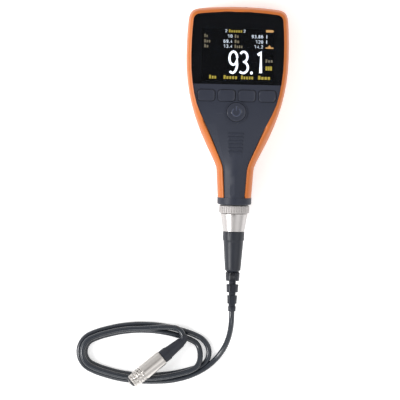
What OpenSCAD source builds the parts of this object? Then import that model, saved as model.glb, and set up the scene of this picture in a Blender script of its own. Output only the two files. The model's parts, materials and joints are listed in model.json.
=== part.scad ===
// Hand-held coating thickness gauge with a plug-in probe on a cable.
// The gauge lies on its back: +Z is out of the display, +Y is towards the top end, and the
// plug, the cable and the probe lie towards -Y. Z = 0 is the surface that it lies on.

/* [Housing] */
// Length of the housing, from the top end to the end of the collar
body_l = 141; // [136:0.5:150]
// Width of the head at its widest
head_w = 73; // [71:0.5:78]
// Thickness of the head
body_t = 37; // [36.5:0.25:40]
// Wall of the mouldings
wall = 2; // [1.6:0.1:2.4]
// Height of the joint between the two cases
parting_h = 20; // [19.6:0.1:21]
// Distance of the widest place from the top end
widest_from_top = 35.5; // [30:0.5:40]
// Length of a top corner along the side
corner_l = 10; // [8:0.25:12]
// Width of a top corner along the top
corner_w = 8; // [6:0.25:10]
// Bow of the top end
top_bow = 1.6; // [0.8:0.1:2.5]
// Narrowing of the head from its widest place to the top corners
head_taper = 1; // [0.4:0.1:2]

/* [Neck] */
// Length of the neck with its collar
neck_l = 24.5; // [22:0.5:28]
// Width of the neck where the flare starts
neck_root_w = 26.4; // [25.5:0.1:29]
// Diameter of the collar
collar_d = 24.4; // [23.8:0.1:26]
// Length of the collar
collar_l = 5; // [4.6:0.1:7]
// Bore of the collar, for the coupling ring
collar_bore_d = 17.6; // [17.4:0.1:18.4]
// Height of the neck's axis above the back
neck_axis_h = 18; // [17.6:0.1:18.6]
// Half thickness of the neck
neck_half_t = 12.4; // [12.2:0.1:13]
// Crown of the neck's front and back
neck_crown = 3.1; // [2.4:0.1:3.6]
// Handle of the flare's curve at the neck, as a share of the flare's length
flare_low_share = 0.105; // [0.08:0.005:0.15]
// Handle of the flare's curve at the head, as a share of the flare's length
flare_high_share = 0.568; // [0.5:0.002:0.62]

/* [Bumper] */
// Width of the orange band beside the head
band_head = 3.6; // [3:0.1:4]
// Width of the band along the grip
band_grip = 6; // [5:0.1:6.6]
// Width of the band along the neck
band_neck = 4.9; // [4.2:0.1:5.2]
// Width of the band over the top end
band_top = 3.7; // [3.5:0.1:5]
// Height of the rim above the front panel
rim_h = 0.8; // [0.4:0.1:1.2]
// Height of the band's lower edge above the back
band_lift = 0.6; // [0.3:0.1:1]

/* [Display] */
// Border of the window below the screen
lens_below = 2.75; // [2.4:0.05:3.2]
// Thickness of the window
lens_t = 1.3; // [1:0.1:1.5]
// Thickness of the printed mask under the window
mask_t = 0.2; // [0.15:0.05:0.3]
// Distance of the lit screen from the side of the head
screen_side = 11; // [10.8:0.1:13]
// Height of the lit screen
screen_h = 36.7; // [34:0.1:37.5]
// Distance of the screen from the top end
screen_top = 15.65; // [15.2:0.05:16.2]
// Border of the display module round the screen
module_border = 2; // [1.8:0.1:2.2]
// Wall of the frame that carries the module
frame_wall = 1.2; // [1:0.1:1.4]

/* [Keys] */
// Distance of the outer soft keys from the bumper
softkey_side = 1; // [0.8:0.1:2]
// Height of a soft key
softkey_h = 8.2; // [6:0.1:8.6]
// Gap between neighbouring soft keys
softkey_gap = 2; // [1.4:0.1:3]
// Distance of the soft keys' middle below the window's edge
softkey_below = 7.9; // [7.5:0.1:8.4]
// Corner radius of a soft key
softkey_r = 2.4; // [1:0.1:2.8]
// Diameter of the power key
power_d = 13.6; // [11:0.1:14]
// Width of the round raised rim about the power key
power_rim_w = 0.85; // [0.6:0.05:1.2]
// Distance of the power key's middle below the soft keys
power_below = 11.6; // [11.4:0.1:13]
// Height of a key above the panel
key_proud = 0.7; // [0.4:0.1:1]
// Travel of a key
key_travel = 0.8; // [0.5:0.1:0.9]
// Gap round a key
key_gap = 0.25; // [0.2:0.05:0.4]

/* [Grip] */
// Number of ribs on the grip
rib_count = 6; // [3:1:7]
// Distance between the ribs
rib_pitch = 2.6; // [2.2:0.1:3]
// Length of a rib
rib_l = 11; // [8:0.5:14]
// Width of a rib
rib_w = 1.2; // [0.8:0.1:1.6]
// Height of a rib above the panel
rib_h = 0.35; // [0.2:0.05:0.5]
// Distance of the first rib below the power key's middle
rib_below = 15.5; // [14:0.5:17]

/* [Battery] */
// Diameter of a cell
cell_d = 14.5; // [14:0.1:14.6]
// Length of a cell with its button
cell_l = 50.5; // [49.5:0.1:51]
// Distance of the cells' ends from the top end
cell_from_top = 11.5; // [11:0.1:12.5]
// Room for a battery spring
spring_room = 5.5; // [4.5:0.1:6]
// Thickness of the battery cover
cover_t = 1.8; // [1.6:0.1:2]
// Diameter of the turn latch
latch_d = 14; // [12:0.5:14.5]

/* [Sockets] */
// Width of the data socket
usb_w = 8; // [7:0.1:9]
// Height of the data socket
usb_h = 3.2; // [2.6:0.1:3.6]
// Depth of the data socket
usb_l = 8; // [7:0.1:9]
// Width of the rubber flap
flap_w = 12.4; // [11:0.1:14]
// Height of the rubber flap
flap_h = 8.8; // [8:0.1:9.4]
// Thickness of the rubber flap
flap_t = 2.5; // [2.2:0.1:2.8]
// Diameter of the probe socket's barrel
socket_d = 12.4; // [12:0.1:12.8]
// Length of the probe socket's barrel
socket_l = 13.5; // [12:0.5:15]
// Number of pins in the probe socket
pin_count = 5; // [3:1:6]
// Diameter of a pin
pin_d = 1.2; // [0.8:0.1:1.3]

/* [Plug] */
// Diameter of the coupling ring
ring_d = 21.6; // [20:0.1:23]
// Length of the coupling ring
ring_l = 5.5; // [4:0.1:7]
// Number of grip grooves round the coupling ring
ring_grooves = 36; // [12:2:40]
// Diameter of the plug's sleeve beside the ring
sleeve_d = 19.2; // [17:0.1:20]
// Diameter of the plug's sleeve beside the boot
sleeve_end_d = 15.2; // [14.4:0.1:16.4]
// Length of the plug's sleeve
sleeve_l = 13; // [11:0.5:16]
// Diameter of the boot's band
boot_d = 15.3; // [14:0.1:16]
// Length of the boot's band
boot_band_l = 6.4; // [5:0.1:8]
// Diameter of the boot's narrow end
boot_end_d = 11.2; // [10:0.1:12.5]
// Length of the boot
boot_l = 28.1; // [25:0.1:31]
// Number of rings on the strain relief
relief_count = 4; // [3:1:5]
// Diameter of the first ring of the strain relief
relief_d = 10.1; // [9:0.1:10.8]
// Diameter of the last ring of the strain relief
relief_end_d = 5.9; // [5.6:0.1:6.6]
// Diameter of the strain relief between its rings
relief_core_d = 5; // [4.8:0.1:5.4]
// Length of the strain relief
relief_l = 29.1; // [26:0.1:32]

/* [Probe] */
// Diameter of the probe's sleeve
probe_d = 11; // [10.8:0.1:11.2]
// Length of the steel sleeve
probe_sleeve_l = 24.2; // [22:0.1:28]
// Length of the nose that stands out of the sleeve
probe_nose_l = 4.2; // [3.6:0.1:4.8]
// Diameter of the nose
probe_nose_d = 9.4; // [9:0.1:9.4]
// Travel of the sleeve over the nose
probe_travel = 3; // [2:0.1:3.2]
// Diameter of the black face
face_d = 7.6; // [6:0.1:8]
// Diameter of the bright pole in the face
pole_d = 2.4; // [1.6:0.1:3]
// Length of the straight part of the probe's boot
probe_boot_l = 17.5; // [15:0.1:20]
// Diameter of the boot at the cable
probe_boot_end_d = 6.8; // [5.6:0.1:7.4]
// Diameter of the cable
cable_d = 4; // [3.6:0.1:4]

/* [Hidden] */

$fn = 48;

orange = [0.91, 0.46, 0.18];
panel_grey = [0.29, 0.31, 0.34];
key_grey = [0.33, 0.35, 0.38];
gloss_black = [0.05, 0.05, 0.06];
soft_black = [0.10, 0.10, 0.12];
steel = [0.78, 0.78, 0.76];
brass = [0.80, 0.66, 0.36];
board_green = [0.10, 0.32, 0.20];

// Fits
seam = 0.05;      // faces of fixed pieces that meet
slip = 0.3;       // pieces that move past each other
easy = 0.15;      // pieces that drop into a seat

// Places along the gauge
top_y = body_l / 2;
end_y = -body_l / 2;
collar_y = end_y + collar_l;
neck_root_y = end_y + neck_l;
widest_y = top_y - widest_from_top;
corner_y = top_y - corner_l;
grip_y = neck_root_y + 23;
band_full_y = grip_y + 28;
back_flat_y = neck_root_y + 25;
profile_low_y = neck_root_y - 4;

screen_w = head_w - 2 * screen_side;
screen_y = top_y - screen_top - screen_h / 2;
lens_y = screen_y - screen_h / 2 - lens_below;
softkey_y = lens_y - softkey_below;
power_y = softkey_y - power_below;
front_flat_y = power_y + 6;
hollow_top_y = top_y - band_top - wall;
hollow_low_y = neck_root_y + wall;

// Heights of the stack under the front panel
panel_h = body_t - rim_h;
mask_h = panel_h - lens_t - mask_t;
roof_h = mask_h - 1.7;
module_top_h = mask_h - 0.1;
board_t = 1.6;
board_top_h = roof_h - 6;
board_low_h = board_top_h - board_t;
flange_t = 0.9;
flange_lip = 0.8;
flange_top_h = roof_h - 0.1;
flange_low_h = flange_top_h - flange_t;
stem_d = 4;
stem_l = 0.8;
mat_top_h = flange_low_h - stem_l - key_travel - 0.1;
mat_t = 1.5;
mat_rim = 1.2;
switch_d = 4.6;
switch_t = mat_top_h - mat_t - board_top_h - 0.1;

// Curves
function mix(a, b, t) = a + (b - a) * t;
function smooth(t) = let (c = min(1, max(0, t))) c * c * (3 - 2 * c);
function unit(v) = v / norm(v);
function bezier(p, t) =
    p[0] * pow(1 - t, 3) + p[1] * 3 * t * pow(1 - t, 2) + p[2] * 3 * t * t * (1 - t) + p[3] * pow(t, 3);
function curve(p, steps) = [for (k = [0 : steps - 1]) bezier(p, k / steps)];
function signed_pow(v, e) = sign(v) * pow(abs(v), e);

// Plan outline of the bumper: the right half from the collar to the top, then the left half
half_w = head_w / 2;
flare_l = widest_y - neck_root_y;
neck_points = [[collar_d / 2 - 0.2, collar_y], [neck_root_w / 2, neck_root_y]];
flare = [
    neck_points[1],
    neck_points[1] + [0.05, 1] * flare_low_share * flare_l,
    [half_w, widest_y - flare_high_share * flare_l],
    [half_w, widest_y]
];
side = [
    flare[3],
    [half_w, widest_y + 12],
    [half_w - 0.3 * head_taper, corner_y - 7.5],
    [half_w - head_taper, corner_y]
];
corner = [
    side[3],
    side[3] + [-0.5 * head_taper, corner_l * 0.55],
    [half_w - corner_w * 0.44, top_y - top_bow - 0.6],
    [half_w - corner_w, top_y - top_bow]
];
top_edge = [
    corner[3],
    corner[3] + [-9.5, top_bow * 0.8],
    [9.5, top_y],
    [0, top_y]
];
neck_steps = 3;
flare_steps = 14;
side_steps = 3;
corner_steps = 6;
top_steps = 6;
right_half = concat(
    [for (k = [0 : neck_steps - 1]) mix(neck_points[0], neck_points[1], k / neck_steps)],
    curve(flare, flare_steps), curve(side, side_steps),
    curve(corner, corner_steps), curve(top_edge, top_steps)
);
last_right = len(right_half) - 1;
function both_halves(right, top_point) = concat(
    right,
    [top_point],
    [for (k = [len(right) - 1 : -1 : 0]) [-right[k].x, right[k].y]]
);
outline = both_halves(right_half, [0, top_y]);
last_point = len(outline) - 1;

// Plan outline of the panel inside the bumper, point for point beside the bumper's own
function outward(k) =
    k == 0 ? [1, 0] :
    let (t = unit(outline[k + 1] - outline[k - 1])) [t.y, -t.x];
function band_beside(y) = y > grip_y
    ? mix(band_grip, band_head, smooth((y - grip_y) / (band_full_y - grip_y)))
    : mix(band_neck, band_grip, smooth((y - neck_root_y) / (grip_y - neck_root_y)));
panel_corner_start = corner[0] - [band_head, 0];
panel_corner_end = corner[3] - [band_head / 4, band_top];
panel_corner = [
    panel_corner_start,
    panel_corner_start + [-0.1, (panel_corner_end.y - panel_corner_start.y) * 0.6],
    panel_corner_end + [(panel_corner_start.x - panel_corner_end.x) * 0.55, -0.25],
    panel_corner_end
];
panel_top = [
    panel_corner_end,
    panel_corner_end + [-9.5, top_bow * 0.8],
    [9.5, top_y - band_top],
    [0, top_y - band_top]
];
panel_right = concat(
    [for (k = [0 : neck_steps + flare_steps + side_steps - 1])
        outline[k] - outward(k) * band_beside(outline[k].y)],
    curve(panel_corner, corner_steps), curve(panel_top, top_steps)
);
panel = both_halves(panel_right, [0, top_y - band_top]);
function panel_point(k, inset) = panel[k] + unit(panel[k] - outline[k]) * inset;
function panel_outline(inset) = [for (k = [0 : last_point]) panel_point(k, inset)];
panel_table = [for (k = [0 : last_right + 1]) [panel[k].y, panel[k].x]];
outer_table = [for (k = [0 : last_right + 1]) [outline[k].y, outline[k].x]];
function panel_half(y) = lookup(y, panel_table);
function outer_half(y) = lookup(min(y, widest_y), outer_table);

// Side profile of the front and the back
function front_share(y) = smooth((y - profile_low_y) / (front_flat_y - profile_low_y));
function back_share(y) = smooth((y - profile_low_y) / (back_flat_y - profile_low_y));
function front_z(y) = mix(neck_axis_h + neck_half_t, panel_h, front_share(y));
function back_z(y) = mix(neck_axis_h - neck_half_t, 0, back_share(y));
function front_drop(y) = neck_crown * (1 - front_share(y));
function back_rise(y) = neck_crown * (1 - back_share(y));
function across(x, y) = pow(x / panel_half(min(y, widest_y)), 2);
function front_surface(x, y) = front_z(y) - front_drop(y) * across(x, y);
function back_surface(x, y) = back_z(y) + back_rise(y) * across(x, y);

// A skin over rings of points, each ring a list of the same length, with its ends closed by strips
function zigzag(n) = [for (i = [0 : n - 1]) i % 2 == 0 ? i / 2 : n - 1 - (i - 1) / 2];
function cap(n) =
    let (z = zigzag(n))
    [for (i = [0 : n - 3]) i % 2 == 0 ? [z[i], z[i + 2], z[i + 1]] : [z[i], z[i + 1], z[i + 2]]];
module skin(rings) {
    sides = len(rings[0]);
    last = len(rings) - 1;
    polyhedron(
        points = [for (r = rings) each r],
        faces = concat(
            cap(sides),
            [for (i = [0 : last - 1], j = [0 : sides - 1])
                let (a = i * sides + j, b = i * sides + (j + 1) % sides)
                each [[a, a + sides, b + sides], [a, b + sides, b]]],
            [for (f = cap(sides)) [for (v = [2 : -1 : 0]) last * sides + f[v]]]
        )
    );
}

// A round tube along a list of points
module tube(points, d, sides) {
    last = len(points) - 1;
    skin([for (i = [0 : last])
        let (
            t = unit(points[min(i + 1, last)] - points[max(i - 1, 0)]),
            side_way = unit(cross(t, [0, 0, 1])),
            up_way = cross(side_way, t)
        )
        [for (j = [0 : sides - 1])
            let (a = 360 * j / sides)
            points[i] + (side_way * cos(a) + up_way * sin(a)) * d / 2]
    ]);
}

module rounded_rect(w, h, r) {
    square([w - 2 * r, h], center = true);
    square([w, h - 2 * r], center = true);
    for (x = [-1, 1], y = [-1, 1])
        translate([x * (w / 2 - r), y * (h / 2 - r)]) circle(r);
}

// A prism on a rounded rectangle, from one height to another
module pad(w, h, r, low, high) {
    translate([0, 0, low]) linear_extrude(high - low) rounded_rect(w, h, r);
}

module post(x, y, d, low, high) {
    translate([x, y, low]) cylinder(d = d, h = high - low);
}

// A turned piece about the neck's axis: its profile gives radius and distance below the collar's end
module turned(profile) {
    translate([0, end_y, neck_axis_h]) rotate([90, 0, 0]) rotate_extrude() polygon(profile);
}

// A straight cylinder about the neck's axis, from one place to another along Y
module axis_rod(d, from_y, to_y) {
    translate([0, from_y, neck_axis_h]) rotate([-90, 0, 0]) cylinder(d = d, h = to_y - from_y);
}

// Bumper: a rounded band swept round the outline
band_steps = 12;
function band_ring(k) =
    let (
        y = outline[k].y,
        high = front_z(y) - front_drop(y) + rim_h * front_share(y),
        low = back_z(y) + back_rise(y) + band_lift * back_share(y),
        e = mix(1, 0.72, front_share(y))
    )
    [for (j = [0 : band_steps])
        let (
            a = 180 * j / band_steps,
            p = mix(panel[k], outline[k], pow(max(0, sin(a)), e))
        )
        [p.x, p.y, (high + low) / 2 + (high - low) / 2 * signed_pow(cos(a), e)]];

port_z = board_low_h - usb_h / 2;
port_gap = 0.3;
flap_pivot_y = top_y - 0.25 - flap_t / 2;
flap_low_z = port_z - flap_h / 2;
flap_pivot_z = flap_low_z + flap_t / 2;

module port_cut(w, h, from_y, to_y) {
    translate([-w / 2, from_y, port_z - h / 2]) cube([w, to_y - from_y, h]);
}

module bumper() {
    color(orange) difference() {
        skin([for (k = [0 : last_point]) band_ring(k)]);
        port_cut(flap_w + 2 * port_gap, flap_h + 2 * port_gap, top_y - band_top - 1, top_y + 1);
    }
}

// Outer form of both cases: the crowned front and back over the whole plan
form_margin = 1;
form_lift = 0.02;
form_steps = 18;
form_columns = 8;
form_ys = concat(
    [for (k = [0 : form_steps]) mix(collar_y - form_margin, front_flat_y, k / form_steps)],
    [top_y + form_margin]
);
function flat_lift(y, flat_y) = y < flat_y
    ? 0
    : mix(form_lift, form_margin, (y - flat_y) / (top_y + form_margin - flat_y));
function form_ring(y) =
    let (w = outer_half(max(y, collar_y)) + form_margin, yy = max(y, collar_y))
    concat(
        [for (j = [0 : form_columns])
            let (x = mix(-w, w, j / form_columns))
            [x, y, front_surface(x, yy) + flat_lift(y, front_flat_y)]],
        [for (j = [form_columns : -1 : 0])
            let (x = mix(-w, w, j / form_columns))
            [x, y, back_surface(x, yy) - flat_lift(y, back_flat_y)]]
    );

module case_form() {
    skin([for (y = form_ys) form_ring(y)]);
}

module case_prism(low, high) {
    translate([0, 0, low]) linear_extrude(high - low) polygon(panel_outline(seam));
}

// Hollow of both cases: the plan less the wall, between the roof and the floor
hollow_steps = 12;
hollow_ys = [for (k = [0 : hollow_steps]) mix(hollow_low_y, corner_y - 2, k / hollow_steps)];
hollow_corner = 4;
function hollow_half(y) = panel_half(y) - wall;
function hollow_roof(y) = min(roof_h, front_z(y) - front_drop(y) - wall);
function hollow_floor(y) = back_z(y) + back_rise(y) + wall;
hollow_right = concat(
    [for (y = hollow_ys) [hollow_half(y), y]],
    [[hollow_half(corner_y - 2), hollow_top_y - hollow_corner],
     [hollow_half(corner_y - 2) - hollow_corner, hollow_top_y]]
);

module hollow() {
    intersection() {
        linear_extrude(body_t) polygon(concat(
            hollow_right,
            [for (k = [len(hollow_right) - 1 : -1 : 0]) [-hollow_right[k].x, hollow_right[k].y]]
        ));
        translate([-half_w, 0, 0]) rotate([90, 0, 90]) linear_extrude(head_w) polygon(concat(
            [for (y = hollow_ys) [y, hollow_roof(y)]],
            [[top_y, roof_h], [top_y, wall]],
            [for (k = [hollow_steps : -1 : 0]) [hollow_ys[k], hollow_floor(hollow_ys[k])]]
        ));
    }
}

// Screws
case_screw_d = 2.4;
case_head_d = 4.6;
case_head_t = 1.8;
case_boss_d = 5.4;
boss_root = 0.5;
case_thread_l = 7;
case_screw_edge = 4;
case_screw_top = [21.5, hollow_top_y - 2.3];
board_screw_d = 1.9;
board_head_d = 3.8;
board_head_t = 1.2;
board_boss_d = 4;
board_thread_l = 4;
board_gap = 0.6;
board_screw_edge = 2.3;
board_screw_low_y = power_y - 14.5;
function board_half(y) = hollow_half(y) - board_gap;
function both_sides(p) = [p, [-p.x, p.y]];
case_screw_low_y = board_screw_low_y - board_boss_d / 2 - case_boss_d / 2 - board_gap;
case_screw_low = [panel_half(case_screw_low_y) - case_screw_edge, case_screw_low_y];
case_screw_places = concat(both_sides(case_screw_top), both_sides(case_screw_low));
board_screw_places = concat(
    both_sides([12, hollow_top_y - 2.1]),
    both_sides([board_half(board_screw_low_y) - board_screw_edge, board_screw_low_y])
);

// Keys
softkey_room = panel_half(softkey_y - softkey_h / 2) - softkey_side;
softkey_w = (2 * softkey_room - 3 * softkey_gap) / 4;
softkey_pitch = softkey_w + softkey_gap;
softkey_xs = [for (k = [0 : 3]) (k - 1.5) * softkey_pitch];
power_rim_d = power_d + 2 * key_gap + 2 * power_rim_w;
power_rim_h = 0.45;

key_room_h = roof_h - key_travel - 0.5;

module key_holes() {
    for (x = softkey_xs) translate([x, softkey_y, 0])
        pad(softkey_w + 2 * key_gap, softkey_h + 2 * key_gap, softkey_r + key_gap, key_room_h, body_t + 1);
    post(0, power_y, power_d + 2 * key_gap, key_room_h, body_t + 1);
}

// Lens seat and display window
lens_gap = 0.25;
module_w = screen_w + 2 * module_border;
module_h = screen_h + 2 * module_border;

module lens_plan(inset) {
    intersection() {
        polygon(panel_outline(inset));
        translate([-half_w, lens_y + inset]) square([head_w, body_l]);
    }
}

module screen_block(w, h, low, high) {
    translate([-w / 2, screen_y - h / 2, low]) cube([w, h, high - low]);
}

// Grip ribs
module grip_ribs() {
    for (k = [0 : rib_count - 1]) {
        y = power_y - rib_below - k * rib_pitch;
        l = rib_l - 0.35 * k;
        translate([0, y, front_surface(l / 2, y) - 1])
            linear_extrude(1 + rib_h + front_drop(y) * across(l / 2, y))
            rounded_rect(l, rib_w, rib_w / 2 - 0.01);
    }
}

module front_case() {
    color(panel_grey) difference() {
        union() {
            difference() {
                intersection() {
                    case_form();
                    case_prism(parting_h, panel_h);
                }
                hollow();
            }
            post(0, power_y, power_rim_d, roof_h + 0.5, panel_h + power_rim_h);
            grip_ribs();
            for (p = case_screw_places)
                post(p.x, p.y, case_boss_d, parting_h, hollow_roof(p.y) + boss_root);
            for (p = board_screw_places)
                post(p.x, p.y, board_boss_d, board_top_h, hollow_roof(p.y) + boss_root);
        }
        translate([0, 0, mask_h]) linear_extrude(body_t) lens_plan(0);
        screen_block(module_w + 2 * easy, module_h + 2 * easy, roof_h - 1, body_t);
        key_holes();
        post(0, power_y, power_d + 2 * flange_lip + 2 * slip, key_room_h, roof_h);
        for (p = case_screw_places)
            post(p.x, p.y, case_screw_d + 0.1, parting_h - 1, parting_h + case_thread_l + slip);
        for (p = board_screw_places)
            post(p.x, p.y, board_screw_d + 0.1, board_top_h - 1, board_top_h + board_thread_l + slip);
        port_cut(usb_w + 4, usb_h + 3, hollow_top_y - 3, top_y);
        axis_rod(socket_d + 2 * easy, collar_y - 2, hollow_low_y + 2);
    }
}

// Battery bay in the rear case
cell_x = cell_d / 2 + 0.6;
bay_half = cell_x + cell_d / 2 + 0.5;
bay_wall = 1.5;
cell_top_y = top_y - cell_from_top;
cell_low_y = cell_top_y - cell_l;
bay_top_y = cell_top_y + 1.2;
divider_y = cell_low_y - spring_room;
latch_cup_wall = 1.5;
latch_cup_d = latch_d + 2 * slip + 2 * latch_cup_wall;
latch_y = divider_y - bay_wall - latch_cup_d / 2 - 0.5;
bay_low_y = latch_y - latch_cup_d / 2 - 1;
bay_mid_y = (bay_top_y + bay_low_y) / 2;
bay_l = bay_top_y - bay_low_y;
seal_t = 0.4;
seal_w = 1.2;
cover_ledge = 1.6;
cover_low_h = 0.2;
cover_top_h = cover_low_h + cover_t;
cover_w = 2 * bay_half + 2 * cover_ledge;
cover_l = bay_l + 2 * cover_ledge;
cover_r = 5;
seal_low_h = cover_top_h + seam;
bay_floor_h = seal_low_h + seal_t + seam;
cell_z = bay_floor_h + cell_d / 2;
bay_ceiling_h = cell_z + cell_d / 2 + 0.3;
tongue_low_h = cover_top_h + 4.8;
tongue_t = 1.5;
tongue_w = 5;
tongue_catch = 1.2;
tongue_reach = latch_y - bay_low_y + tongue_catch;
tongue_swing_w = 16;
keeper_h = tongue_low_h - slip;
keeper_w = 8;

module bay_block(grow, low, high) {
    translate([0, bay_mid_y, 0])
        pad(2 * bay_half + 2 * grow, bay_l + 2 * grow, 2 + grow, low, high);
}

module rear_case() {
    color(panel_grey) difference() {
        union() {
            difference() {
                intersection() {
                    case_form();
                    case_prism(0, parting_h - seam);
                }
                hollow();
            }
            intersection() {
                bay_block(max(bay_wall, cover_ledge + 1), 0.5, bay_ceiling_h + bay_wall);
                case_prism(0.5, parting_h - seam);
            }
            for (p = case_screw_places) post(p.x, p.y, case_boss_d, 0.5, parting_h - seam);
        }
        difference() {
            bay_block(0, -1, bay_ceiling_h);
            translate([-bay_half, divider_y - bay_wall, bay_floor_h])
                cube([2 * bay_half, bay_wall, body_t]);
            translate([-keeper_w / 2, bay_low_y - 1, bay_floor_h])
                cube([keeper_w, 2.2, keeper_h - bay_floor_h]);
        }
        translate([0, bay_mid_y, 0])
            pad(cover_w + 2 * easy, cover_l + 2 * easy, cover_r + easy, -1, bay_floor_h);
        translate([-tongue_swing_w / 2, bay_low_y - tongue_catch - slip - easy, keeper_h])
            cube([tongue_swing_w, tongue_catch + 1, tongue_t + 2 * slip]);
        for (p = case_screw_places) {
            post(p.x, p.y, case_screw_d + 0.4, -1, parting_h + 1);
            post(p.x, p.y, case_head_d + 0.6, -1, case_head_t + 1.2);
        }
        axis_rod(socket_d + 2 * easy, collar_y - 2, hollow_low_y + 2);
    }
}

module neck_collar() {
    edge = 0.6;
    color(panel_grey) turned([
        [collar_bore_d / 2, 0],
        [collar_d / 2 - edge, 0],
        [collar_d / 2, -edge],
        [collar_d / 2, -collar_l + seam],
        [collar_bore_d / 2, -collar_l + seam]
    ]);
}

module display_lens() {
    color([0.10, 0.11, 0.13, 0.6])
        translate([0, 0, panel_h - lens_t]) linear_extrude(lens_t) lens_plan(lens_gap);
}

module lens_mask() {
    color(gloss_black) translate([0, 0, mask_h]) linear_extrude(mask_t - 0.02) difference() {
        lens_plan(lens_gap);
        translate([-screen_w / 2, screen_y - screen_h / 2]) square([screen_w, screen_h]);
    }
}

frame_ledge = 1.5;
module_t = 3.6;
module_low_h = module_top_h - module_t;
module display_module() {
    glass_t = 1.2;
    color([0.14, 0.15, 0.18]) {
        screen_block(module_w, module_h, module_low_h, module_top_h - glass_t);
        screen_block(module_w - 1, module_h - 1, module_top_h - glass_t, module_top_h);
    }
}

module display_frame() {
    outer_w = module_w + 2 * easy + 2 * frame_wall;
    outer_h = module_h + 2 * easy + 2 * frame_wall;
    color([0.75, 0.75, 0.77]) difference() {
        screen_block(outer_w, outer_h, board_top_h, roof_h - slip);
        screen_block(module_w + 2 * easy, module_h + 2 * easy, module_low_h - seam, body_t);
        screen_block(module_w - 2 * frame_ledge, module_h - 2 * frame_ledge, board_top_h - 1, body_t);
    }
}

board_low_y = power_y - 21;
module main_board() {
    ys = [for (k = [0 : hollow_steps]) mix(board_low_y, corner_y - 2, k / hollow_steps)];
    right = concat(
        [for (y = ys) [board_half(y), y]],
        [[hollow_half(corner_y - 2) - hollow_corner - 2, hollow_top_y - board_gap]]
    );
    color(board_green) difference() {
        translate([0, 0, board_low_h]) linear_extrude(board_t - seam) polygon(concat(
            right, [for (k = [len(right) - 1 : -1 : 0]) [-right[k].x, right[k].y]]
        ));
        for (p = case_screw_places) post(p.x, p.y, case_boss_d + 2 * slip, board_low_h - 1, board_top_h + 1);
        for (p = board_screw_places) post(p.x, p.y, board_screw_d + 0.4, board_low_h - 1, board_top_h + 1);
    }
}

// Chips under the board: place, size and height of each
chip_rows = [
    [[0, screen_y], [14, 14, 1.4]],
    [[-17, screen_y + 6], [10, 8, 1.2]],
    [[17, screen_y + 6], [8, 8, 1.2]],
    [[-14, screen_y - 14], [6, 5, 1.6]],
    [[14, screen_y - 14], [5, 6, 1.6]],
    [[0, power_y - 10], [9, 7, 1.3]]
];
module board_chips() {
    color(soft_black) for (c = chip_rows)
        translate([c[0].x - c[1].x / 2, c[0].y - c[1].y / 2, board_low_h - seam - c[1].z])
            cube(c[1]);
}

sounder_d = 9;
sounder_t = 3;
sounder_hole_d = 1.8;
sounder_edge = 2.2;
sounder_y = power_y - 3;
sounder_x = -(board_half(sounder_y) - sounder_d / 2 - sounder_edge);
module sounder() {
    color(soft_black) difference() {
        post(sounder_x, sounder_y, sounder_d, board_low_h - seam - sounder_t, board_low_h - seam);
        post(sounder_x, sounder_y, sounder_hole_d,
            board_low_h - sounder_t - 1, board_low_h - sounder_t + 0.6);
    }
}

module usb_socket() {
    shell = 0.5;
    front_y = hollow_top_y + wall / 2;
    color(steel) difference() {
        port_cut(usb_w, usb_h - 2 * seam, front_y - usb_l, front_y);
        port_cut(usb_w - 2 * shell, usb_h - 2 * shell - 2 * seam, front_y - usb_l + 2, front_y + 1);
    }
    color(soft_black) port_cut(usb_w - 2.5, 0.7, front_y - usb_l + 1.5, front_y - 0.8);
}

module port_flap() {
    lip_t = 1.2;
    back_y = flap_pivot_y - flap_t / 2;
    color(soft_black) {
        translate([-flap_w / 2, back_y, flap_pivot_z]) cube([flap_w, flap_t, flap_h - flap_t / 2]);
        translate([-flap_w / 2, flap_pivot_y, flap_pivot_z]) rotate([0, 90, 0])
            cylinder(d = flap_t, h = flap_w);
        translate([-usb_w / 2 - 0.8, back_y - lip_t, port_z - usb_h / 2])
            cube([usb_w + 1.6, lip_t + 0.5, usb_h]);
    }
}

mat_edge = 1;
mat_w = 2 * (hollow_half(softkey_y - softkey_h / 2 - mat_edge) - 0.4);
mat_low_y = power_y - power_d / 2 - mat_edge;
mat_power_w = power_d + 4;

module mat_plan(inset) {
    translate([0, softkey_y])
        square([mat_w - 2 * inset, softkey_h + 2 * mat_edge - 2 * inset], center = true);
    translate([-mat_power_w / 2 + inset, mat_low_y + inset])
        square([mat_power_w - 2 * inset, softkey_y - mat_low_y]);
}

module keypad_mat() {
    color([0.20, 0.20, 0.22]) difference() {
        translate([0, 0, board_top_h]) linear_extrude(mat_top_h - board_top_h) mat_plan(0);
        translate([0, 0, board_top_h - 1])
            linear_extrude(mat_top_h - mat_t - board_top_h + 1) mat_plan(mat_rim);
    }
}

module key_switches() {
    color(steel) {
        for (x = softkey_xs) post(x, softkey_y, switch_d, board_top_h, board_top_h + switch_t);
        post(0, power_y, switch_d, board_top_h, board_top_h + switch_t);
    }
}

cap_edge = 0.35;
tab_w = 7;
tab_r = 1;
module softkey(k) {
    color(key_grey) translate([softkey_xs[k], softkey_y, 0]) {
        pad(softkey_w, softkey_h, softkey_r, flange_top_h - 0.1, panel_h + key_proud - cap_edge);
        pad(softkey_w - 2 * cap_edge, softkey_h - 2 * cap_edge, softkey_r - cap_edge,
            panel_h + key_proud - cap_edge - 0.1, panel_h + key_proud);
        pad(tab_w, softkey_h + 2 * flange_lip, tab_r, flange_low_h, flange_top_h);
        post(0, 0, stem_d, flange_low_h - stem_l, flange_low_h + 0.1);
    }
}
module softkey_1() { softkey(0); }
module softkey_2() { softkey(1); }
module softkey_3() { softkey(2); }
module softkey_4() { softkey(3); }

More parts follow.
